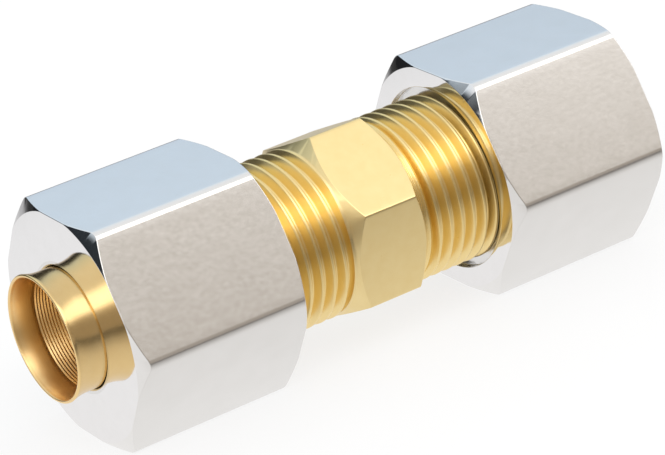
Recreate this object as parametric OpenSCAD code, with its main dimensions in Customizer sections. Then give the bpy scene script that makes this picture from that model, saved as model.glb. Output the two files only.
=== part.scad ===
// Compression coupling for two copper pipes, sealed metal to metal.
// A brass body with a hexagon in its middle has a male thread at each end. A nickel-plated nut
// on each thread draws a thin brass sleeve into the conical seat in the end of the body.
// The pipe axis lies along X, the centre of the coupling is the origin, and both nuts rest on
// a flat. The nuts are shown backed off, as the coupling is delivered.

/* [Pipe] */
// Outer diameter of the copper pipe
pipe_d = 15; // [14:0.1:15.5]
// Difference in diameter between the pipe and the bores that take it
pipe_gap = 0.1; // [0.05:0.05:0.3]
// Bore of the body between the two pipe stops
waterway_d = 13; // [10:0.5:13.5]
// Depth of a pipe socket, from the end of the body to the pipe stop
socket_depth = 20; // [12:0.5:22]

/* [Body] */
// Width across the flats of the body hexagon
hex_af = 23; // [22.8:0.1:25]
// Length of the body hexagon along the pipe axis
hex_len = 10.8; // [8:0.1:14]
// Radius on the corners of the body hexagon
hex_corner_r = 0.4; // [0.2:0.1:1]
// Slope of the chamfer on the ends of the body hexagon, from its end face
hex_chamfer_angle = 35; // [20:1:40]
// Turn of the body hexagon about the pipe axis, against the nuts
hex_turn = 37; // [0:1:59]
// Diameter of the plain collar beside the hexagon
collar_d = 22.2; // [21.5:0.1:22.6]
// Length of the plain collar beside the hexagon
collar_len = 1; // [0.5:0.1:2]
// Wall that is left round the mouth of the conical seat
seat_wall = 0.6; // [0.4:0.1:0.9]

/* [Thread] */
// Outer diameter of the thread
thread_d = 22.8; // [22.4:0.1:24]
// Distance from one turn of the thread to the next
thread_pitch = 1.814; // [1.5:0.001:2]
// Length of the thread at each end of the body, from the collar to the end face
thread_len = 17.6; // [15:0.1:19]
// Shortest plain pilot between the last turn and the end face of the body
pilot_len = 1.2; // [0.8:0.1:3]
// Chamfer on the end of the pilot
pilot_chamfer = 0.3; // [0.1:0.05:0.4]
// Radial clearance between the thread and the bore of the nut
thread_gap = 0.1; // [0.05:0.05:0.2]

/* [Nuts] */
// Width across the flats of the nuts
nut_af = 30; // [29:0.5:34]
// Length of a nut
nut_len = 24.6; // [23:0.1:30]
// Radius on the six long edges of a nut
nut_corner_r = 1.5; // [0.5:0.1:2.5]
// Diameter of the flat end face of a nut, inside its chamfer
nut_face_d = 30.4; // [28.5:0.1:31]
// Slope of the chamfer on the ends of a nut, from its end face
nut_chamfer_angle = 30; // [15:1:40]
// Diameter of the countersink in the open face of a nut
nut_mouth_d = 25; // [24.6:0.1:26.5]
// Depth of the groove behind the thread of a nut, beyond the thread bore
relief_depth = 0.3; // [0.2:0.1:0.5]
// Length of the groove behind the thread of a nut
relief_len = 2.4; // [1:0.1:4]
// Free thread between the body hexagon and a nut, as shown
nut_gap = 10.65; // [9:0.05:12]
// Free thread between the body hexagon and a nut when the joint is tight
nut_gap_tight = 3.5; // [2:0.05:5]

/* [Sleeves] */
// Wall of the sleeve tube
sleeve_wall = 0.45; // [0.3:0.05:0.6]
// Wall of the sleeve at the tip of its nose
nose_tip_wall = 0.35; // [0.2:0.05:0.5]
// Slope of the sleeve nose and of the seat in the body, from the pipe axis
nose_angle = 30; // [20:1:40]
// Height of the sleeve band above the mouth of the seat
band_rise = 0.3; // [0.1:0.05:0.5]
// Length of the band between the nose and the back cone
band_len = 2; // [1:0.1:3]
// Slope of the back cone and of the shoulder in the nut, from the pipe axis
shoulder_angle = 45; // [35:1:60]
// Gap along the axis between the back cone and the shoulder in the nut
shoulder_gap = 0.1; // [0.05:0.05:0.3]
// Radial clearance between the sleeve tube and the hole in the front of the nut
hole_gap = 0.12; // [0.05:0.01:0.3]
// Chamfer on the outer edge of the hole in the front of the nut
hole_chamfer = 0.2; // [0.1:0.05:0.5]
// Length of sleeve that stands out of the front of the nut
lip_reach = 4.15; // [3:0.05:8]
// Length of the flared lip
lip_len = 1.7; // [1:0.1:2.5]
// Growth of the radius along the flared lip
lip_flare = 0.45; // [0.2:0.05:0.8]

/* [Hidden] */
$fn = 96;

LEFT = -1;
RIGHT = 1;
BRASS = "goldenrod";
NICKEL = "gainsboro";
// Overrun of a cutting shape past the face that it opens
cut = 1;
// Depth to which the chamfer of the body hexagon runs on inside the collar
chamfer_root = 0.4;
// Gap along the axis between the nose and its seat when the joint is tight
seat_gap = 0.05;

// Whitworth thread form: flank angle, and the share of the pitch that is the thread's depth
flank_angle = 27.5;
depth_share = 0.6403;
thread_r = thread_d / 2;
thread_depth = depth_share * thread_pitch;
root_r = thread_r - thread_depth;
flank_run = thread_depth * tan(flank_angle);
crest_w = (thread_pitch - 2 * flank_run) / 2;

// Stations along the axis, from the centre outwards
hex_end = hex_len / 2;
thread_start = hex_end + collar_len;
body_end = thread_start + thread_len;
thread_turns = floor((thread_len - pilot_len) / thread_pitch);
pipe_stop = body_end - socket_depth;
nut_face_in = hex_end + nut_gap;
nut_face_out = nut_face_in + nut_len;
tighten_travel = nut_gap - nut_gap_tight;

// Radii that mating pieces share
pipe_r = (pipe_d + pipe_gap) / 2;
tube_r = pipe_r + sleeve_wall;
nose_r = pipe_r + nose_tip_wall;
collar_r = collar_d / 2;
seat_r = root_r - pilot_chamfer - seat_wall;
band_r = seat_r + band_rise;
bore_r = thread_r + thread_gap;
relief_r = bore_r + relief_depth;
hole_r = tube_r + hole_gap;

// The sleeve, which sits tighten_travel short of its seat
seat_depth = (seat_r - pipe_r) / tan(nose_angle);
nose_tip = body_end - (seat_r - nose_r) / tan(nose_angle) + seat_gap + tighten_travel;
nose_end = nose_tip + (band_r - nose_r) / tan(nose_angle);
band_end = nose_end + band_len;
back_end = band_end + (band_r - tube_r) / tan(shoulder_angle);
lip_end = nut_face_out + lip_reach;
lip_start = lip_end - lip_len;

// The shoulder in the nut, which is the back cone moved out by its gap
shoulder_out = back_end + shoulder_gap - hole_gap / tan(shoulder_angle);
shoulder_in = shoulder_out - (relief_r - hole_r) / tan(shoulder_angle);
relief_in = shoulder_in - relief_len;

// Turns what is built on the right half of the pipe axis to face the given side
module facing(side) {
    rotate([0, 0, side == LEFT ? 180 : 0])
        children();
}

// A shape turned about the pipe axis, from points of [station, radius]
module turned(outline) {
    rotate([0, 90, 0])
        rotate_extrude()
            polygon([for (p = outline) [p[1], p[0]]]);
}

// Hexagon with rounded corners and a flat underneath, drawn across the pipe axis
module rounded_hexagon(af, corner_r) {
    centre_r = (af / 2 - corner_r) / cos(30);
    for (k = [0:2])
        rotate(k * 60)
            square([centre_r, af], center = true);
    for (k = [0:5])
        rotate(k * 60)
            translate([centre_r, 0])
                circle(r = corner_r);
}

// Hexagonal bar between two stations, with both ends chamfered down to a round face
module chamfered_hexagon(af, corner_r, from, to, face_r, angle) {
    over_r = af / 2 / cos(30) + cut;
    rise = (over_r - face_r) * tan(angle);
    intersection() {
        translate([from, 0, 0])
            rotate([90, 0, 90])
                linear_extrude(height = to - from)
                    rounded_hexagon(af, corner_r);
        turned([[from, 0], [from, face_r], [from + rise, over_r],
                [to - rise, over_r], [to, face_r], [to, 0]]);
    }
}

// Outline of the thread: V grooves between flat crests, from the collar to the pilot
function thread_outline() =
    [for (i = [0:thread_turns - 1])
        let (s = thread_start + i * thread_pitch)
        each [[s, root_r],
              [s + crest_w, root_r],
              [s + crest_w + flank_run, thread_r],
              [s + 2 * crest_w + flank_run, thread_r],
              [s + thread_pitch, root_r]]];

module coupling_body() {
    half = concat([[0, 0], [0, collar_r], [thread_start, collar_r]],
                  thread_outline(),
                  [[body_end - pilot_chamfer, root_r],
                   [body_end, root_r - pilot_chamfer], [body_end, 0]]);
    root_end = hex_end + chamfer_root * tan(hex_chamfer_angle);
    color(BRASS)
        difference() {
            union() {
                for (side = [LEFT, RIGHT])
                    facing(side)
                        turned(half);
                rotate([hex_turn, 0, 0])
                    chamfered_hexagon(hex_af, hex_corner_r, -root_end, root_end,
                                      collar_r - chamfer_root, hex_chamfer_angle);
            }
            for (side = [LEFT, RIGHT])
                facing(side)
                    turned([[-cut, 0], [-cut, waterway_d / 2], [pipe_stop, waterway_d / 2],
                            [pipe_stop, pipe_r], [body_end - seat_depth, pipe_r],
                            [body_end, seat_r], [body_end + cut, seat_r], [body_end + cut, 0]]);
        }
}

module nut(side) {
    mouth_r = nut_mouth_d / 2;
    color(NICKEL)
        facing(side)
            difference() {
                chamfered_hexagon(nut_af, nut_corner_r, nut_face_in, nut_face_out,
                                  nut_face_d / 2, nut_chamfer_angle);
                turned([[nut_face_in - cut, 0], [nut_face_in - cut, mouth_r],
                        [nut_face_in, mouth_r], [nut_face_in + mouth_r - bore_r, bore_r],
                        [relief_in, bore_r], [relief_in, relief_r], [shoulder_in, relief_r],
                        [shoulder_out, hole_r], [nut_face_out - hole_chamfer, hole_r],
                        [nut_face_out, hole_r + hole_chamfer],
                        [nut_face_out + cut, hole_r + hole_chamfer], [nut_face_out + cut, 0]]);
            }
}

module sleeve(side) {
    rim_r = sleeve_wall / 2;
    lip_r = tube_r + lip_flare - rim_r;
    rim = [for (a = [90:-30:-90])
        [lip_end - rim_r + rim_r * cos(a), lip_r + rim_r * sin(a)]];
    color(BRASS)
        facing(side)
            turned(concat([[nose_tip, pipe_r], [nose_tip, nose_r], [nose_end, band_r],
                           [band_end, band_r], [back_end, tube_r], [lip_start, tube_r]],
                          rim, [[lip_start, pipe_r]]));
}

coupling_body();
nut(LEFT);  // left_nut
nut(RIGHT);  // right_nut
sleeve(LEFT);  // left_sleeve
sleeve(RIGHT);  // right_sleeve
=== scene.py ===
"""Looks of a compression coupling for copper pipe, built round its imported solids.

A brass body with a hexagon in its middle has a right-hand thread at each end. A nickel-plated nut
sits on each thread, and a thin brass sleeve with a flared lip stands out of the front of each nut.
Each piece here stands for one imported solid, keeps its place, and adds what the solid leaves out:
the true helix of the threads, rounded edges and the finish of every surface.

Lengths in the classes are in millimetres, along the pipe axis X and out from it. An angle is
measured about +X, from +Y towards +Z, in degrees where a field holds it.
"""

import logging
import math
from collections.abc import Callable
from dataclasses import dataclass, field
from enum import Enum

import bmesh
import bpy
from bmesh.types import BMEdge, BMesh, BMVert
from mathutils import Matrix, Vector


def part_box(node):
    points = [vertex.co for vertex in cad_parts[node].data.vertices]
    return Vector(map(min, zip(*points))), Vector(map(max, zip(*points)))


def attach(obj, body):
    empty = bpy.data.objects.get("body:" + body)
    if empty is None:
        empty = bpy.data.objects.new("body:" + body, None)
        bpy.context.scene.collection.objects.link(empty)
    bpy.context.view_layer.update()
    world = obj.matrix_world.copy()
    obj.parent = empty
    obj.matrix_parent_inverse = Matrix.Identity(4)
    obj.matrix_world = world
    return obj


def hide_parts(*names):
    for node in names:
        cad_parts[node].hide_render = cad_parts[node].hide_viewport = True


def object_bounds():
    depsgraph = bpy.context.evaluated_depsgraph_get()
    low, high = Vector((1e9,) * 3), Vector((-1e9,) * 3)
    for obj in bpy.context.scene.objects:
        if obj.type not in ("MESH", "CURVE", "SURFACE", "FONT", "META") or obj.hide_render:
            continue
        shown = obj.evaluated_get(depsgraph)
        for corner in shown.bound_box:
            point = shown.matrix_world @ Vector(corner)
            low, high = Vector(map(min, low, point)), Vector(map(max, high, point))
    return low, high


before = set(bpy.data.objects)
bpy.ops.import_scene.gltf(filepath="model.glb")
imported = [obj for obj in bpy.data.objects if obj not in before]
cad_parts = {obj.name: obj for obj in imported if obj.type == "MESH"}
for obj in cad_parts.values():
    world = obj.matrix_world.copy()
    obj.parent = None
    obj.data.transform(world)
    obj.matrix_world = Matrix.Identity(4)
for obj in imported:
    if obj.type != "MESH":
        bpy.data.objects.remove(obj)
CAD_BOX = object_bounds()

LOG = logging.getLogger("coupling")
MM = 0.001
WELD = 1e-6

Point = tuple[float, float]
Rule = Callable[[float], tuple[float, float, float]]
Colour = tuple[float, float, float]
Stops = tuple[tuple[float, Colour], ...]


class Side(Enum):
    """The end of the coupling that a piece is on, by its direction along the pipe axis."""

    LEFT = -1
    RIGHT = 1

    @property
    def node(self) -> str:
        """The word that starts the names of the nodes on this side."""
        return self.name.lower()


class Marks(Enum):
    """The way that tool marks run over a surface."""

    ROUND_AXIS = "rings along the pipe axis"
    ON_FACE = "rings out from the pipe axis"
    ALONG_BAR = "lines along the pipe axis"


def polar(station: float, radius: float, angle: float) -> tuple[float, float, float]:
    """Gives a point about the pipe axis.

    Args:
        station: Place along the axis.
        radius: Distance from the axis.
        angle: Angle about the axis, in radians.

    Returns:
        The point's three coordinates, in the units of the station and the radius.
    """
    return station, radius * math.cos(angle), radius * math.sin(angle)


def arc(centre: Point, radius: float, start: float, end: float, segments: int) -> list[Point]:
    """Lists the points of an arc.

    Args:
        centre: Station and radius of its centre.
        radius: The arc's own radius.
        start: Direction of the first point, in degrees from the axis.
        end: Direction of the last point.
        segments: How many chords stand for the arc.

    Returns:
        The points, one more than the segments.
    """
    turns = [math.radians(start + (end - start) * i / segments) for i in range(segments + 1)]
    return [(centre[0] + radius * math.cos(t), centre[1] + radius * math.sin(t)) for t in turns]


def rounded(outline: list[Point], radius: float, segments: int = 3) -> list[Point]:
    """Rounds the inner corners of an open outline.

    Args:
        outline: Points of station and radius. The first and the last stay as they are.
        radius: Radius of the rounding, cut down where a side is short.
        segments: Chords in each rounding.

    Returns:
        The outline with an arc in place of each inner corner.
    """
    out = [outline[0]]
    for before, corner, after in zip(outline, outline[1:], outline[2:]):
        here = Vector(corner)
        back, ahead = Vector(before) - here, Vector(after) - here
        half = back.angle(ahead) / 2
        reach = min(radius / math.tan(half), 0.45 * back.length, 0.45 * ahead.length)
        start, end = here + back.normalized() * reach, here + ahead.normalized() * reach
        centre = here + (back.normalized() + ahead.normalized()).normalized() * (reach / math.cos(half))
        first, last = (start - centre).normalized(), (end - centre).normalized()
        for i in range(segments + 1):
            out.append(tuple(centre + first.slerp(last, i / segments) * (start - centre).length))
    return out + [outline[-1]]


class Skin:
    """A mesh that grows ring by ring about the pipe axis from an open rim."""

    def __init__(self, bm: BMesh, rim: list[BMEdge]) -> None:
        """Takes up a mesh at one of its rims.

        Args:
            bm: The mesh.
            rim: Its open edges, which form one ring about the axis.
        """
        self.bm = bm
        self.rim = rim
        self.angle = {v: math.atan2(v.co.z, v.co.y) for e in rim for v in e.verts}

    def grow(self, rule: Rule, slot: int) -> None:
        """Adds one ring of faces.

        Args:
            rule: Gives the new vertex, in millimetres, for an angle in radians.
            slot: Material slot of the new faces.
        """
        old = self.angle
        grown = bmesh.ops.extrude_edge_only(self.bm, edges=self.rim)["geom"]
        fresh = {g for g in grown if isinstance(g, BMVert)}
        self.angle = {}
        for vert in fresh:
            root = next(v for e in vert.link_edges for v in e.verts if v in old)
            self.angle[vert] = old[root]
            vert.co = Vector(rule(old[root])) * MM
        self.rim = [g for g in grown if isinstance(g, BMEdge) and set(g.verts) <= fresh]
        for face in (g for g in grown if isinstance(g, bmesh.types.BMFace)):
            face.material_index = slot

    def turn(self, outline: list[Point], slot: int) -> None:
        """Grows one ring for each point of a turned outline.

        Args:
            outline: Points of station and radius, in millimetres.
            slot: Material slot of the new faces.
        """
        for station, radius in outline:
            self.grow(lambda angle, s=station, r=radius: polar(s, r, angle), slot)

    def close(self, other: "Skin", slot: int) -> None:
        """Joins this skin's rim to another's.

        Args:
            other: A skin of the same mesh.
            slot: Material slot of the faces between the two.
        """
        made = bmesh.ops.bridge_loops(self.bm, edges=self.rim + other.rim)
        for face in made["faces"]:
            face.material_index = slot


@dataclass(frozen=True)
class Thread:
    """A right-hand pipe thread with round crests and roots."""

    crest_r: float = 11.4
    pitch: float = 1.814
    depth_share: float = 0.6403
    round_share: float = 0.1373
    flank_angle: float = 27.5
    crest_at: float = 0.0
    arc_segments: int = 4
    steps: int = 144

    @property
    def root_r(self) -> float:
        """Radius at the bottom of the groove."""
        return self.crest_r - self.depth_share * self.pitch

    def one_pitch(self) -> list[Point]:
        """Lists the section of one pitch, from the middle of a crest to just before the next.

        Returns:
            Points of station and radius, in millimetres, with the crest's middle at station 0.
        """
        r = self.round_share * self.pitch
        n = self.arc_segments
        crest = arc((0, self.crest_r - r), r, 90, self.flank_angle, n)
        root = arc((self.pitch / 2, self.root_r + r), r, 180 + self.flank_angle, 360 - self.flank_angle, 2 * n)
        rise = arc((self.pitch, self.crest_r - r), r, 180 - self.flank_angle, 90, n)
        return crest + root + rise[:-1]

    def cut(self, bm: BMesh, start: float, end: float, slot: int) -> tuple[list[BMEdge], list[BMEdge]]:
        """Makes the thread's surface between two stations.

        The section of all the turns is spun once round while it moves on by one pitch, so that
        each turn ends where the next one starts. Two planes then cut the ends square.

        Args:
            bm: An empty mesh.
            start: Station of the lower cut.
            end: Station of the upper cut.
            slot: Material slot of the faces.

        Returns:
            The open rim at the lower cut, and the one at the upper cut.
        """
        first = math.floor((start - self.crest_at) / self.pitch) - 2
        last = math.ceil((end - self.crest_at) / self.pitch) + 1
        section = [
            (self.crest_at + k * self.pitch + x, r) for k in range(first, last) for x, r in self.one_pitch()
        ]
        verts = [bm.verts.new((x * MM, r * MM, 0)) for x, r in section]
        edges = [bm.edges.new(pair) for pair in zip(verts, verts[1:])]
        step = self.pitch * MM / self.steps
        bmesh.ops.spin(
            bm, geom=verts + edges, cent=(0, 0, 0), axis=(1, 0, 0), dvec=(step, 0, 0), angle=math.tau,
            steps=self.steps, use_duplicate=False,
        )
        bmesh.ops.remove_doubles(bm, verts=bm.verts, dist=WELD)
        for station, outwards in ((start, -1), (end, 1)):
            bmesh.ops.bisect_plane(
                bm, geom=bm.verts[:] + bm.edges[:] + bm.faces[:], dist=WELD / 10,
                plane_co=(station * MM, 0, 0), plane_no=(outwards, 0, 0), clear_outer=True,
            )
        for face in bm.faces:
            face.material_index = slot
        return self.rim_at(bm, start), self.rim_at(bm, end)

    @staticmethod
    def rim_at(bm: BMesh, station: float) -> list[BMEdge]:
        """Finds the open edges at a station."""
        return [
            e for e in bm.edges
            if e.is_boundary and all(abs(v.co.x - station * MM) < 10 * WELD for v in e.verts)
        ]


@dataclass(frozen=True)
class HexBar:
    """A hexagon bar with rounded corners, whose ends are turned down to a cone."""

    flats: float
    corner_r: float
    first_corner: float
    cone_r: float
    cone_angle: float
    corner_share: float = 1 / 6
    edge_r: float = 0.15
    edge_segments: int = 3

    def outline(self, angle: float) -> tuple[float, float]:
        """Places a ring's vertex on the hexagon, with more vertices at the corners.

        Args:
            angle: The vertex's own angle, in radians.

        Returns:
            Distance from the axis, in millimetres, and angle on the hexagon, in radians.
        """
        sector = math.radians(60)
        turn = angle - math.radians(self.first_corner)
        k = math.floor(turn / sector)
        share = turn / sector - k
        mirrored = share > 0.5
        share = min(share, 1 - share)
        apothem = self.flats / 2
        hub = (apothem - self.corner_r) / math.cos(sector / 2)
        if share < self.corner_share:
            swing = share / self.corner_share * sector / 2
            x, y = hub + self.corner_r * math.cos(swing), self.corner_r * math.sin(swing)
        else:
            along = (0.5 - share) / (0.5 - self.corner_share) * (apothem - self.corner_r) * math.tan(sector / 2)
            x = apothem * math.cos(sector / 2) + along * math.sin(sector / 2)
            y = apothem * math.sin(sector / 2) - along * math.cos(sector / 2)
        radius, swing = math.hypot(x, y), math.atan2(y, x)
        base = math.radians(self.first_corner) + k * sector
        return radius, base + (sector - swing if mirrored else swing)

    def end_rings(self, face_at: float, outwards: int) -> list[Rule]:
        """Lists the rings over one end of the bar, from its end face to its flats.

        A ball of the edge radius rolls inside the end face, the cone and the flats, so both edges
        of the cone are round and the two run into one where the cone is narrow.

        Args:
            face_at: Station of the end face, in millimetres.
            outwards: Direction along the axis that the end face looks in.

        Returns:
            A rule for each ring.
        """
        slope = math.radians(self.cone_angle)
        spans = ((0.0, slope), (slope, math.pi / 2))
        return [
            self.end_rule(face_at, outwards, part, low + (high - low) * i / self.edge_segments)
            for part, (low, high) in enumerate(spans) for i in range(self.edge_segments + 1)
        ]

    def end_rule(self, face_at: float, outwards: int, part: int, lean: float) -> Rule:
        """Gives the rule of one ring over an end of the bar.

        Args:
            face_at: Station of the end face, in millimetres.
            outwards: Direction along the axis that the end face looks in.
            part: 0 for the edge between face and cone, 1 for the edge between cone and flat.
            lean: Direction of the ring's normal, in radians from the axis.

        Returns:
            A rule for Skin.grow.
        """
        slope = math.radians(self.cone_angle)
        ball = self.edge_r

        def rule(angle: float) -> tuple[float, float, float]:
            """Places one vertex of the ring."""
            reach, turn = self.outline(angle)
            inner_r = self.cone_r - ball * math.tan(slope / 2)
            outer_r = reach - ball
            depth, radius = -ball, min(inner_r, outer_r)
            if part and outer_r > inner_r:
                radius = outer_r
                depth = -(ball + math.sin(slope) * (outer_r - self.cone_r)) / math.cos(slope)
            return polar(
                face_at + outwards * (depth + ball * math.cos(lean)), radius + ball * math.sin(lean), turn
            )

        return rule


def finished(bm: BMesh, name: str, materials: list[bpy.types.Material]) -> bpy.types.Object:
    """Turns a mesh into a piece of the scene, closed, smooth and facing outwards.

    Args:
        bm: The mesh, which is used up.
        name: The piece's name.
        materials: Its materials, by slot.

    Returns:
        The new object.
    """
    sharp_from = math.radians(35)
    bmesh.ops.remove_doubles(bm, verts=bm.verts, dist=WELD)
    bmesh.ops.recalc_face_normals(bm, faces=bm.faces)
    if bm.calc_volume(signed=True) < 0:
        bmesh.ops.reverse_faces(bm, faces=bm.faces)
    for face in bm.faces:
        face.smooth = True
    for edge in bm.edges:
        edge.smooth = len(edge.link_faces) == 2 and edge.calc_face_angle() < sharp_from
    loose = sum(len(e.link_faces) != 2 for e in bm.edges)
    mesh = bpy.data.meshes.new(name)
    bm.to_mesh(mesh)
    bm.free()
    for material in materials:
        mesh.materials.append(material)
    piece = bpy.data.objects.new(name, mesh)
    bpy.context.scene.collection.objects.link(piece)
    weigh = piece.modifiers.new("flat faces stay flat", "WEIGHTED_NORMAL")
    weigh.keep_sharp = True
    LOG.info("%s: %d faces, %d edges that don't close", name, len(mesh.polygons), loose)
    return piece


def dress(piece: bpy.types.Object, body: str, node: str) -> None:
    """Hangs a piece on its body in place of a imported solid.

    Args:
        piece: The finished piece.
        body: The body that it moves with.
        node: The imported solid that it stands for.
    """
    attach(piece, body)
    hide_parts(node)


@dataclass
class CouplingBody:
    """The brass body: hexagon, two collars, two threads, seats, pipe sockets and waterway."""

    name: str = "brass_body"
    hexagon: HexBar = field(default_factory=lambda: HexBar(
        flats=23, corner_r=0.4, first_corner=37, cone_r=11.1, cone_angle=35, corner_share=1 / 12, edge_r=0.14,
    ))
    hex_end: float = 5.4
    collar_end: float = 6.4
    left_collar_end: float = 5.8
    collar_r: float = 11.1
    ring_ridges: tuple[float, ...] = (5.65, 6.12)
    ring_depth: float = 0.18
    thread_end: float = 22.726
    end: float = 24.0
    end_chamfer: float = 0.3
    seat_r: float = 9.3385
    seat_end: float = 20.902
    pipe_r: float = 7.55
    pipe_stop: float = 4.0
    waterway_r: float = 6.5
    join_at: float = 1.0
    edge_r: float = 0.06

    def threads(self) -> dict[Side, Thread]:
        """Gives each side's thread, with the place of its crests as the photograph shows it."""
        return {Side.LEFT: Thread(crest_at=-8.092), Side.RIGHT: Thread(crest_at=8.408)}

    def inside(self, side: Side, root_r: float) -> list[Point]:
        """Lists the turned outline from the end of the thread into the waterway.

        Args:
            side: Which half of the body.
            root_r: Radius at the root of the thread, which is the pilot's too.

        Returns:
            Points of station and radius.
        """
        outline = rounded([
            (self.thread_end, root_r), (self.end - self.end_chamfer, root_r),
            (self.end, root_r - self.end_chamfer), (self.end, self.seat_r),
            (self.seat_end, self.pipe_r), (self.pipe_stop, self.pipe_r),
            (self.pipe_stop, self.waterway_r), (self.join_at, self.waterway_r),
        ], self.edge_r)
        return [(side.value * s, r) for s, r in outline]

    def build(self) -> BMesh:
        """Makes the body's mesh.

        Returns:
            A closed mesh, with the thread's faces in slot 1 and the hexagon's in slot 0.
        """
        bm = bmesh.new()
        skins: dict[Side, tuple[Skin, Skin]] = {}
        for side, thread in self.threads().items():
            half = bmesh.new()
            collar_end = self.left_collar_end if side is Side.LEFT else self.collar_end
            ends = sorted(side.value * s for s in (collar_end, self.thread_end))
            thread.cut(half, ends[0], ends[1], slot=1)
            copy = bpy.data.meshes.new("thread")
            half.to_mesh(copy)
            half.free()
            bm.from_mesh(copy)
            bpy.data.meshes.remove(copy)
            inner = Skin(bm, thread.rim_at(bm, side.value * self.thread_end))
            inner.turn(self.inside(side, thread.root_r), slot=2)
            skins[side] = (Skin(bm, thread.rim_at(bm, side.value * collar_end)), inner)
        left, right = skins[Side.LEFT], skins[Side.RIGHT]
        left[1].close(right[1], slot=2)
        self.grow_hexagon(left[0])
        right[0].turn(self.run_out(), slot=1)
        left[0].close(right[0], slot=0)
        return bm

    def grow_hexagon(self, skin: Skin) -> None:
        """Grows the left collar, the hexagon and the start of the right collar.

        Args:
            skin: The skin at the end of the left thread.
        """
        edge = self.hexagon.edge_segments + 1
        fillet = [(self.left_collar_end, 0.0), (self.hex_end + 0.2, 0.0), (self.hex_end + 0.05, 0.03),
                  (self.hex_end - 0.05, 0.1)]
        skin.turn([(-s, self.collar_r + rise) for s, rise in fillet], slot=0)
        for rule in self.hexagon.end_rings(-self.hex_end, -1)[edge:]:
            skin.grow(rule, slot=0)
        for rule in reversed(self.hexagon.end_rings(self.hex_end, 1)[edge:]):
            skin.grow(rule, slot=0)
        skin.turn([(self.hex_end, self.collar_r), (self.hex_end + 0.05, self.collar_r)], slot=0)

    def run_out(self) -> list[Point]:
        """Lists the fine rings that the thread cutter leaves on the right collar."""
        points = [(self.collar_end, self.collar_r)]
        for ridge in reversed(self.ring_ridges):
            valley_r = self.collar_r - self.ring_depth
            points += [(ridge + 0.2, valley_r), (ridge + 0.05, self.collar_r), (ridge - 0.05, self.collar_r)]
        return points + [(self.ring_ridges[0] - 0.15, self.collar_r - self.ring_depth / 2)]


@dataclass
class Nut:
    """A nickel-plated hexagon nut with its thread, groove, shoulder and hole."""

    side: Side
    thread: Thread
    flats: float = 30.0
    corner_r: float = 1.5
    face_r: float = 15.2
    chamfer_angle: float = 30.0
    mouth_r: float = 12.5
    thread_gap: float = 0.1
    relief_r: float = 11.8
    relief_in: float = 29.258
    shoulder_in: float = 31.658
    shoulder_out: float = 35.338
    hole_r: float = 8.12
    hole_chamfer: float = 0.2
    edge_r: float = 0.08

    @property
    def node(self) -> str:
        """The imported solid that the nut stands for."""
        return self.side.node + "_nut"

    def stations(self) -> tuple[float, float]:
        """Gives the distances of the open face and the front face from the centre."""
        low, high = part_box(self.node)
        near, far = sorted(abs(corner.x) / MM for corner in (low, high))
        return near, far

    def build(self) -> BMesh:
        """Makes the nut's mesh.

        Returns:
            A closed mesh, with flats in slot 0, end faces in slot 1, cones in slot 2 and the
            inside in slot 3.
        """
        way = self.side.value
        near, far = self.stations()
        bore_r = self.thread.crest_r + self.thread_gap
        start = near + self.mouth_r - bore_r
        inner = Thread(crest_r=bore_r, crest_at=self.thread.crest_at, arc_segments=2)
        bar = HexBar(self.flats, self.corner_r, 0, self.face_r, self.chamfer_angle)
        bm = bmesh.new()
        ends = sorted(way * s for s in (start, self.relief_in))
        inner.cut(bm, ends[0], ends[1], slot=3)
        outside = Skin(bm, inner.rim_at(bm, way * start))
        inside = Skin(bm, inner.rim_at(bm, way * self.relief_in))
        mouth = rounded(
            [(start, bore_r), (start, self.mouth_r), (near, self.mouth_r), (near, self.mouth_r + 0.5)],
            self.edge_r,
        )
        outside.turn([(way * s, r) for s, r in mouth], slot=3)
        for rule in bar.end_rings(way * near, -way):
            outside.grow(rule, slot=0)
        for rule in reversed(bar.end_rings(way * far, way)):
            outside.grow(rule, slot=0)
        hole = rounded([
            (self.relief_in, self.relief_r), (self.shoulder_in, self.relief_r),
            (self.shoulder_out, self.hole_r), (far - self.hole_chamfer, self.hole_r),
            (far, self.hole_r + self.hole_chamfer), (far, self.hole_r + 0.6),
        ], self.edge_r)
        inside.turn([(way * s, r) for s, r in hole], slot=3)
        outside.close(inside, slot=1)
        self.paint(bm)
        return bm

    def paint(self, bm: BMesh) -> None:
        """Gives the outer faces their slots, by the way that each one looks."""
        bm.normal_update()
        cone = math.cos(math.radians(self.chamfer_angle / 2))
        flat = math.cos(math.radians(self.chamfer_angle + 20))
        for face in bm.faces:
            centre = face.calc_center_median()
            if math.hypot(centre.y, centre.z) / MM < self.mouth_r and face.material_index == 3:
                continue
            lean = abs(face.normal.x)
            face.material_index = 1 if lean > cone else 2 if lean > flat else 0


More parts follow.
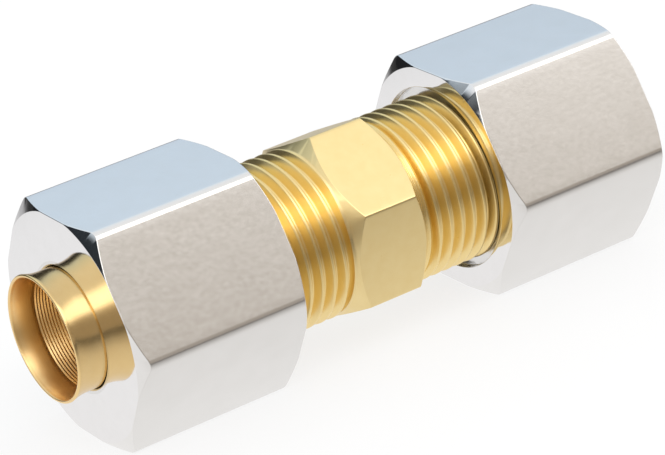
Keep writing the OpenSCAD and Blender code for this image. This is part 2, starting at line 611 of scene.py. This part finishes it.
@dataclass
class Sleeve:
    """A thin turned sleeve with a nose cone, a band, a back cone, a tube and a flared lip."""

    side: Side
    nose_tip: float = 28.708
    nose_end: float = 31.720
    band_end: float = 33.720
    back_end: float = 35.358
    flare_start: float = 42.0
    lip_end: float = 44.80
    pipe_r: float = 7.55
    tube_r: float = 8.0
    nose_r: float = 7.9
    band_r: float = 9.6385
    lip_flare: float = 0.45
    flare_steps: int = 8
    ring_pitch: float = 0.42
    ring_depth: float = 0.08
    rings_from: float = 41.6
    edge_r: float = 0.06
    steps: int = 192

    @property
    def node(self) -> str:
        """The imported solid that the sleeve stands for."""
        return self.side.node + "_sleeve"

    def outline(self) -> list[Point]:
        """Lists the section of the sleeve's wall, once round.

        Returns:
            Points of distance from the centre and radius. The last meets the first.
        """
        rim_r = (self.tube_r - self.pipe_r) / 2
        rim_at = (self.lip_end - rim_r, self.tube_r + self.lip_flare - rim_r)
        shares = [i / self.flare_steps for i in range(self.flare_steps)]
        flare = [
            (self.flare_start + share * (rim_at[0] - self.flare_start), self.lip_flare * share ** 2)
            for share in shares
        ]
        middle_r = (self.pipe_r + self.nose_r) / 2
        outer = rounded([
            (self.nose_tip, middle_r), (self.nose_tip, self.nose_r), (self.nose_end, self.band_r),
            (self.band_end, self.band_r), (self.back_end, self.tube_r), (self.flare_start, self.tube_r),
        ], self.edge_r)
        outside = [(s, self.tube_r + rise) for s, rise in flare[1:]]
        inside = [(s, self.pipe_r + rise) for s, rise in reversed(flare)]
        count = int((self.rings_from - self.nose_tip - 1) / self.ring_pitch)
        rings = [
            (self.rings_from - i * self.ring_pitch / 2, self.pipe_r + (i % 2) * self.ring_depth)
            for i in range(2 * count + 1)
        ]
        nose = [(self.nose_tip, self.pipe_r), (self.nose_tip, middle_r)]
        return outer + outside + arc(rim_at, rim_r, 90, -90, 8) + inside + rings + nose

    def build(self) -> BMesh:
        """Spins the wall's section about the pipe axis.

        Returns:
            A closed mesh, with the bore's faces in slot 1 and the others in slot 0.
        """
        bm = bmesh.new()
        verts = [bm.verts.new((self.side.value * s * MM, r * MM, 0)) for s, r in self.outline()]
        edges = [bm.edges.new(pair) for pair in zip(verts, verts[1:])]
        bmesh.ops.spin(
            bm, geom=verts + edges, cent=(0, 0, 0), axis=(1, 0, 0), dvec=(0, 0, 0), angle=math.tau,
            steps=self.steps, use_merge=True, use_duplicate=False,
        )
        bmesh.ops.remove_doubles(bm, verts=bm.verts, dist=WELD)
        bmesh.ops.recalc_face_normals(bm, faces=bm.faces)
        for face in bm.faces:
            centre = face.calc_center_median()
            inward = face.normal.y * centre.y + face.normal.z * centre.z < 0
            face.material_index = 1 if inward else 0
        return bm


class Sheet:
    """The node tree of a material or of the world, with short ways to add and join nodes."""

    def __init__(self, owner: bpy.types.Material | bpy.types.World) -> None:
        """Empties the owner's node tree and takes it up."""
        owner.use_nodes = True
        self.owner = owner
        self.tree = owner.node_tree
        self.tree.nodes.clear()

    def add(self, kind: str, **settings: object) -> bpy.types.Node:
        """Adds a node and sets its properties."""
        node = self.tree.nodes.new(kind)
        for key, value in settings.items():
            setattr(node, key, value)
        return node

    def join(self, source: bpy.types.NodeSocket, target: bpy.types.NodeSocket) -> None:
        """Links two sockets."""
        self.tree.links.new(source, target)

    def sums(self, operation: str, first: object, second: object = 0.0) -> bpy.types.NodeSocket:
        """Adds a maths node.

        Args:
            operation: Blender's name of the sum.
            first: A number or a socket.
            second: A number or a socket.

        Returns:
            The node's output.
        """
        node = self.add("ShaderNodeMath", operation=operation)
        for socket, value in zip(node.inputs, (first, second)):
            if isinstance(value, (int, float)):
                socket.default_value = value
            else:
                self.join(value, socket)
        return node.outputs[0]

    def fade(self, value: bpy.types.NodeSocket, start: float, end: float, low: float = 0.0,
             high: float = 1.0) -> bpy.types.NodeSocket:
        """Adds a smooth step from low to high while the value runs from start to end."""
        node = self.add("ShaderNodeMapRange", interpolation_type="SMOOTHSTEP")
        for key, number in (("From Min", start), ("From Max", end), ("To Min", low), ("To Max", high)):
            node.inputs[key].default_value = number
        self.join(value, node.inputs["Value"])
        return node.outputs[0]

    def ramp(self, value: bpy.types.NodeSocket, stops: Stops, share: float = 1.0) -> bpy.types.NodeSocket:
        """Adds a colour ramp.

        Args:
            value: Socket that picks the colour.
            stops: Places and colours.
            share: Number that each colour is divided by.

        Returns:
            The colour socket.
        """
        node = self.add("ShaderNodeValToRGB")
        node.color_ramp.elements.remove(node.color_ramp.elements[1])
        for i, (at, colour) in enumerate(stops):
            stop = node.color_ramp.elements[0] if i == 0 else node.color_ramp.elements.new(at)
            stop.position = at
            stop.color = (*(c / share for c in colour), 1)
        self.join(value, node.inputs[0])
        return node.outputs[0]


@dataclass(frozen=True)
class Metal:
    """A machined or plated metal with a fine grain and tool marks."""

    name: str
    light: Colour
    deep: Colour
    roughness: float
    marks: Marks
    mark_pitch: float = 0.2
    mark_depth: float = 0.1
    grain_size: float = 0.3
    grain_depth: float = 0.1
    grain_stretch: float = 1.0
    roughness_spread: float = 0.05

    def material(self) -> bpy.types.Material:
        """Makes the material.

        Returns:
            A metal whose colour and roughness wander a little, with a bump of grain and marks.
        """
        sheet = Sheet(bpy.data.materials.new(self.name))
        place = sheet.add("ShaderNodeTexCoord").outputs["Object"]
        shader = sheet.add("ShaderNodeBsdfPrincipled")
        shader.inputs["Metallic"].default_value = 1.0
        out = sheet.add("ShaderNodeOutputMaterial")
        sheet.join(shader.outputs[0], out.inputs["Surface"])
        grain = self.noise(sheet, place, self.grain_size, self.grain_stretch)
        cloud = self.noise(sheet, place, 6 * self.grain_size, 1.0)
        tint = sheet.add("ShaderNodeMix", data_type="RGBA")
        sheet.join(cloud, tint.inputs["Factor"])
        tint.inputs[6].default_value = (*self.deep, 1)
        tint.inputs[7].default_value = (*self.light, 1)
        sheet.join(tint.outputs[2], shader.inputs["Base Color"])
        rough = sheet.add("ShaderNodeMapRange")
        sheet.join(grain, rough.inputs["Value"])
        rough.inputs["To Min"].default_value = self.roughness - self.roughness_spread
        rough.inputs["To Max"].default_value = self.roughness + self.roughness_spread
        sheet.join(rough.outputs[0], shader.inputs["Roughness"])
        height = sheet.sums("MULTIPLY", grain, self.grain_depth)
        height = sheet.sums("ADD", height, sheet.sums("MULTIPLY", self.lines(sheet, place), self.mark_depth))
        bump = sheet.add("ShaderNodeBump")
        bump.inputs["Strength"].default_value = 1.0
        bump.inputs["Distance"].default_value = 0.01 * MM
        sheet.join(height, bump.inputs["Height"])
        sheet.join(bump.outputs[0], shader.inputs["Normal"])
        return sheet.owner

    def noise(self, sheet: Sheet, place: bpy.types.NodeSocket, size: float, stretch: float) -> bpy.types.NodeSocket:
        """Adds a noise pattern.

        Args:
            sheet: The node tree.
            place: Socket with the object's own coordinates.
            size: Size of one speck, in millimetres.
            stretch: How many times a speck is longer along the pipe axis.

        Returns:
            A socket that runs about 0 to 1.
        """
        scale = sheet.add("ShaderNodeMapping")
        scale.inputs["Scale"].default_value = (1 / (stretch * size * MM), 1 / (size * MM), 1 / (size * MM))
        sheet.join(place, scale.inputs["Vector"])
        noise = sheet.add("ShaderNodeTexNoise")
        noise.inputs["Scale"].default_value = 1.0
        noise.inputs["Detail"].default_value = 3.0
        sheet.join(scale.outputs[0], noise.inputs["Vector"])
        return noise.outputs["Fac"]

    def lines(self, sheet: Sheet, place: bpy.types.NodeSocket) -> bpy.types.NodeSocket:
        """Adds the tool marks.

        Args:
            sheet: The node tree.
            place: Socket with the object's own coordinates.

        Returns:
            A socket with a pattern of uneven lines.
        """
        split = sheet.add("ShaderNodeSeparateXYZ")
        sheet.join(place, split.inputs[0])
        x, y, z = split.outputs
        radius = sheet.sums("SQRT", sheet.sums("ADD", sheet.sums("MULTIPLY", y, y), sheet.sums("MULTIPLY", z, z)))
        angle = sheet.sums("ARCTAN2", z, y)
        across = {Marks.ROUND_AXIS: x, Marks.ON_FACE: radius, Marks.ALONG_BAR: sheet.sums("MULTIPLY", angle, 0.012)}
        joined = sheet.add("ShaderNodeCombineXYZ")
        sheet.join(sheet.sums("DIVIDE", across[self.marks], self.mark_pitch * MM), joined.inputs[0])
        noise = sheet.add("ShaderNodeTexNoise", noise_dimensions="2D")
        noise.inputs["Scale"].default_value = 1.0
        noise.inputs["Detail"].default_value = 2.0
        sheet.join(joined.outputs[0], noise.inputs["Vector"])
        return noise.outputs["Fac"]


THREAD_BRASS = Metal(
    "bright cut brass", light=(0.93, 0.74, 0.36), deep=(0.88, 0.67, 0.29), roughness=0.3,
    marks=Marks.ROUND_AXIS, mark_pitch=0.08, mark_depth=0.3,
)
HEX_BRASS = Metal(
    "satin brass", light=(0.90, 0.73, 0.38), deep=(0.85, 0.66, 0.31), roughness=0.3,
    marks=Marks.ALONG_BAR, mark_pitch=0.15, mark_depth=0.2, grain_size=0.25, grain_depth=0.35, grain_stretch=3.0,
)
TURNED_BRASS = Metal(
    "turned brass", light=(0.91, 0.68, 0.33), deep=(0.86, 0.61, 0.27), roughness=0.2,
    marks=Marks.ROUND_AXIS, mark_pitch=0.1, mark_depth=0.2,
)
BORE_BRASS = Metal(
    "bored brass", light=(0.94, 0.70, 0.36), deep=(0.90, 0.62, 0.28), roughness=0.34,
    marks=Marks.ROUND_AXIS, mark_pitch=0.2, mark_depth=0.6,
)
NICKEL_FLAT = Metal(
    "satin nickel", light=(0.84, 0.83, 0.82), deep=(0.79, 0.78, 0.765), roughness=0.22,
    marks=Marks.ALONG_BAR, mark_pitch=0.3, mark_depth=0.04, grain_size=0.7, grain_depth=0.5, roughness_spread=0.06,
)
NICKEL_FACE = Metal(
    "bright nickel", light=(0.85, 0.84, 0.845), deep=(0.81, 0.80, 0.80), roughness=0.06,
    marks=Marks.ON_FACE, mark_pitch=0.25, mark_depth=0.03, grain_depth=0.05, roughness_spread=0.02,
)
NICKEL_CONE = Metal(
    "turned nickel", light=(0.84, 0.83, 0.82), deep=(0.80, 0.79, 0.78), roughness=0.09,
    marks=Marks.ON_FACE, mark_pitch=0.15, mark_depth=0.08, grain_depth=0.05, roughness_spread=0.02,
)
NICKEL_INSIDE = Metal(
    "nickel in the bore", light=(0.80, 0.79, 0.78), deep=(0.74, 0.73, 0.72), roughness=0.2,
    marks=Marks.ROUND_AXIS,
)


@dataclass
class Studio:
    """The pale floor, the soft lights and the camera."""

    floor_colour: tuple[float, float, float] = (0.93, 0.93, 0.935)
    floor_half: float = 6.0
    aim: tuple[float, float, float] = (-1.332, 0.314, -0.938)
    azimuth: float = -31.092
    elevation: float = 24.050
    roll: float = -8.378
    distance: float = 416.71
    lens: float = 175.22
    # Brightness of the room by its angle about the pipe axis, from behind the part over its top
    # to the front, as shares of a half turn
    room: Stops = (
        (0.00, (0.38, 0.39, 0.42)), (0.08, (0.46, 0.51, 0.58)), (0.125, (0.66, 0.80, 0.95)),
        (0.20, (0.80, 0.92, 1.02)), (0.33, (0.95, 0.97, 1.00)), (0.56, (0.95, 0.95, 0.94)),
        (0.63, (2.20, 2.20, 2.15)), (0.75, (2.20, 2.15, 2.10)), (0.795, (0.62, 0.56, 0.49)),
        (0.85, (0.40, 0.35, 0.30)), (1.00, (0.42, 0.37, 0.32)),
    )
    room_peak: float = 2.2
    # Painted reflection of the floor in the metal: glossy rays see an emission set by place along Y, from
    # floor_front to floor_back, bright near the part and dark far behind it, with no shadow of the part
    floor_front: float = -0.15
    floor_back: float = 0.45
    painted_floor_reflection: Stops = (
        (0.000, (0.17, 0.16, 0.15)), (0.117, (0.30, 0.28, 0.26)), (0.180, (0.58, 0.56, 0.54)),
        (0.205, (0.80, 0.78, 0.76)), (0.235, (0.96, 0.95, 0.94)), (0.350, (0.94, 0.94, 0.94)),
        (0.500, (0.60, 0.60, 0.61)), (0.900, (0.04, 0.04, 0.04)),
    )
    floor_white: float = 0.8

    def build(self) -> None:
        """Makes the floor, the room's light and the camera."""
        self.build_floor()
        self.build_room()
        self.build_camera()

    def build_floor(self) -> None:
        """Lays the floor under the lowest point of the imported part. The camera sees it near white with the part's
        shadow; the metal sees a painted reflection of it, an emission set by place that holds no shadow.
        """
        bm = bmesh.new()
        bmesh.ops.create_grid(bm, x_segments=1, y_segments=1, size=self.floor_half)
        bmesh.ops.translate(bm, verts=bm.verts, vec=(0, 0, CAD_BOX[0].z))
        mesh = bpy.data.meshes.new("floor")
        bm.to_mesh(mesh)
        bm.free()
        floor = bpy.data.objects.new("floor", mesh)
        bpy.context.scene.collection.objects.link(floor)
        sheet = Sheet(bpy.data.materials.new("pale floor"))
        lit = sheet.add("ShaderNodeBsdfDiffuse")
        lit.inputs["Color"].default_value = (*self.floor_colour, 1)
        rays = sheet.add("ShaderNodeLightPath").outputs
        white = sheet.add("ShaderNodeEmission")
        seen = sheet.add("ShaderNodeMixShader")
        direct = sheet.sums("ADD", rays["Is Camera Ray"], rays["Is Transmission Ray"])
        sheet.join(sheet.sums("MULTIPLY", direct, self.floor_white), seen.inputs["Fac"])
        sheet.join(lit.outputs[0], seen.inputs[1])
        sheet.join(white.outputs[0], seen.inputs[2])
        split = sheet.add("ShaderNodeSeparateXYZ")
        sheet.join(sheet.add("ShaderNodeTexCoord").outputs["Object"], split.inputs[0])
        depth = sheet.add("ShaderNodeMapRange")
        sheet.join(split.outputs[1], depth.inputs["Value"])
        depth.inputs["From Min"].default_value = self.floor_front
        depth.inputs["From Max"].default_value = self.floor_back
        # Painted reflection: glossy rays see this emission, set by place along Y, instead of the lit floor
        painted_floor_glow = sheet.add("ShaderNodeEmission")
        sheet.join(sheet.ramp(depth.outputs[0], self.painted_floor_reflection), painted_floor_glow.inputs["Color"])
        mirrored = sheet.add("ShaderNodeMixShader")
        sheet.join(rays["Is Glossy Ray"], mirrored.inputs["Fac"])
        sheet.join(seen.outputs[0], mirrored.inputs[1])
        sheet.join(painted_floor_glow.outputs[0], mirrored.inputs[2])
        sheet.join(mirrored.outputs[0], sheet.add("ShaderNodeOutputMaterial").inputs["Surface"])
        mesh.materials.append(sheet.owner)

    def build_room(self) -> None:
        """Lights the part with a soft room: a strip overhead, a pale sky behind, a dark corner at the left."""
        world = bpy.data.worlds.new("studio")
        bpy.context.scene.world = world
        sheet = Sheet(world)
        split = sheet.add("ShaderNodeSeparateXYZ")
        sheet.join(sheet.add("ShaderNodeTexCoord").outputs["Generated"], split.inputs[0])
        x, y, z = split.outputs
        half_turn = sheet.sums("DIVIDE", sheet.sums("ARCTAN2", z, y), math.pi)
        lean = sheet.fade(x, 0.38, 0.62, 0.0, 0.022)
        colour = sheet.ramp(sheet.sums("SUBTRACT", half_turn, lean), self.room, self.room_peak)
        corner = sheet.sums("MULTIPLY", sheet.fade(x, 0.05, -0.15), sheet.fade(z, 0.42, 0.27))
        corner = sheet.sums("MULTIPLY", corner, sheet.fade(y, -0.1, 0.2))
        bright = sheet.sums("SUBTRACT", 1.0, sheet.sums("MULTIPLY", corner, 0.96))
        room = sheet.add("ShaderNodeBackground")
        sheet.join(colour, room.inputs["Color"])
        sheet.join(sheet.sums("MULTIPLY", bright, self.room_peak), room.inputs["Strength"])
        white = sheet.add("ShaderNodeBackground")
        white.inputs["Color"].default_value = (1, 1, 1, 1)
        white.inputs["Strength"].default_value = 1.0
        seen = sheet.add("ShaderNodeMixShader")
        sheet.join(sheet.add("ShaderNodeLightPath").outputs["Is Camera Ray"], seen.inputs["Fac"])
        sheet.join(room.outputs[0], seen.inputs[1])
        sheet.join(white.outputs[0], seen.inputs[2])
        sheet.join(seen.outputs[0], sheet.add("ShaderNodeOutputWorld").inputs["Surface"])

    def build_camera(self) -> None:
        """Sets the camera to the photograph's view."""
        turn, rise, roll = (math.radians(a) for a in (self.azimuth, self.elevation, self.roll))
        right = Vector((math.cos(turn), math.sin(turn), 0))
        back = Vector((math.sin(turn) * math.cos(rise), -math.cos(turn) * math.cos(rise), math.sin(rise)))
        up = back.cross(right)
        right, up = (
            right * math.cos(roll) + up * math.sin(roll), up * math.cos(roll) - right * math.sin(roll),
        )
        data = bpy.data.cameras.new("camera")
        data.sensor_width = 36
        data.lens = self.lens
        data.clip_start = 0.01
        camera = bpy.data.objects.new("camera", data)
        bpy.context.scene.collection.objects.link(camera)
        place = Vector(self.aim) * MM + back * self.distance * MM
        camera.matrix_world = Matrix.Translation(place) @ Matrix((right, up, back)).transposed().to_4x4()
        bpy.context.scene.camera = camera


def main() -> None:
    """Builds the coupling and its studio."""
    logging.basicConfig(level=logging.INFO, format="%(name)s: %(message)s")
    bpy.context.scene.view_settings.view_transform = "Standard"
    body = CouplingBody()
    brass = [HEX_BRASS.material(), THREAD_BRASS.material(), TURNED_BRASS.material(), BORE_BRASS.material()]
    nickel = [finish.material() for finish in (NICKEL_FLAT, NICKEL_FACE, NICKEL_CONE, NICKEL_INSIDE)]
    piece = finished(body.build(), body.name, brass[:3])
    dress(piece, "body", "coupling_body")
    for side, thread in body.threads().items():
        nut = Nut(side, thread)
        dress(finished(nut.build(), side.node + "_hexagon_nut", nickel), nut.node, nut.node)
        sleeve = Sleeve(side)
        piece = finished(sleeve.build(), side.node + "_flared_sleeve", brass[2:])
        dress(piece, sleeve.node, sleeve.node)
    Studio().build()


if __name__ == "__main__":
    main()
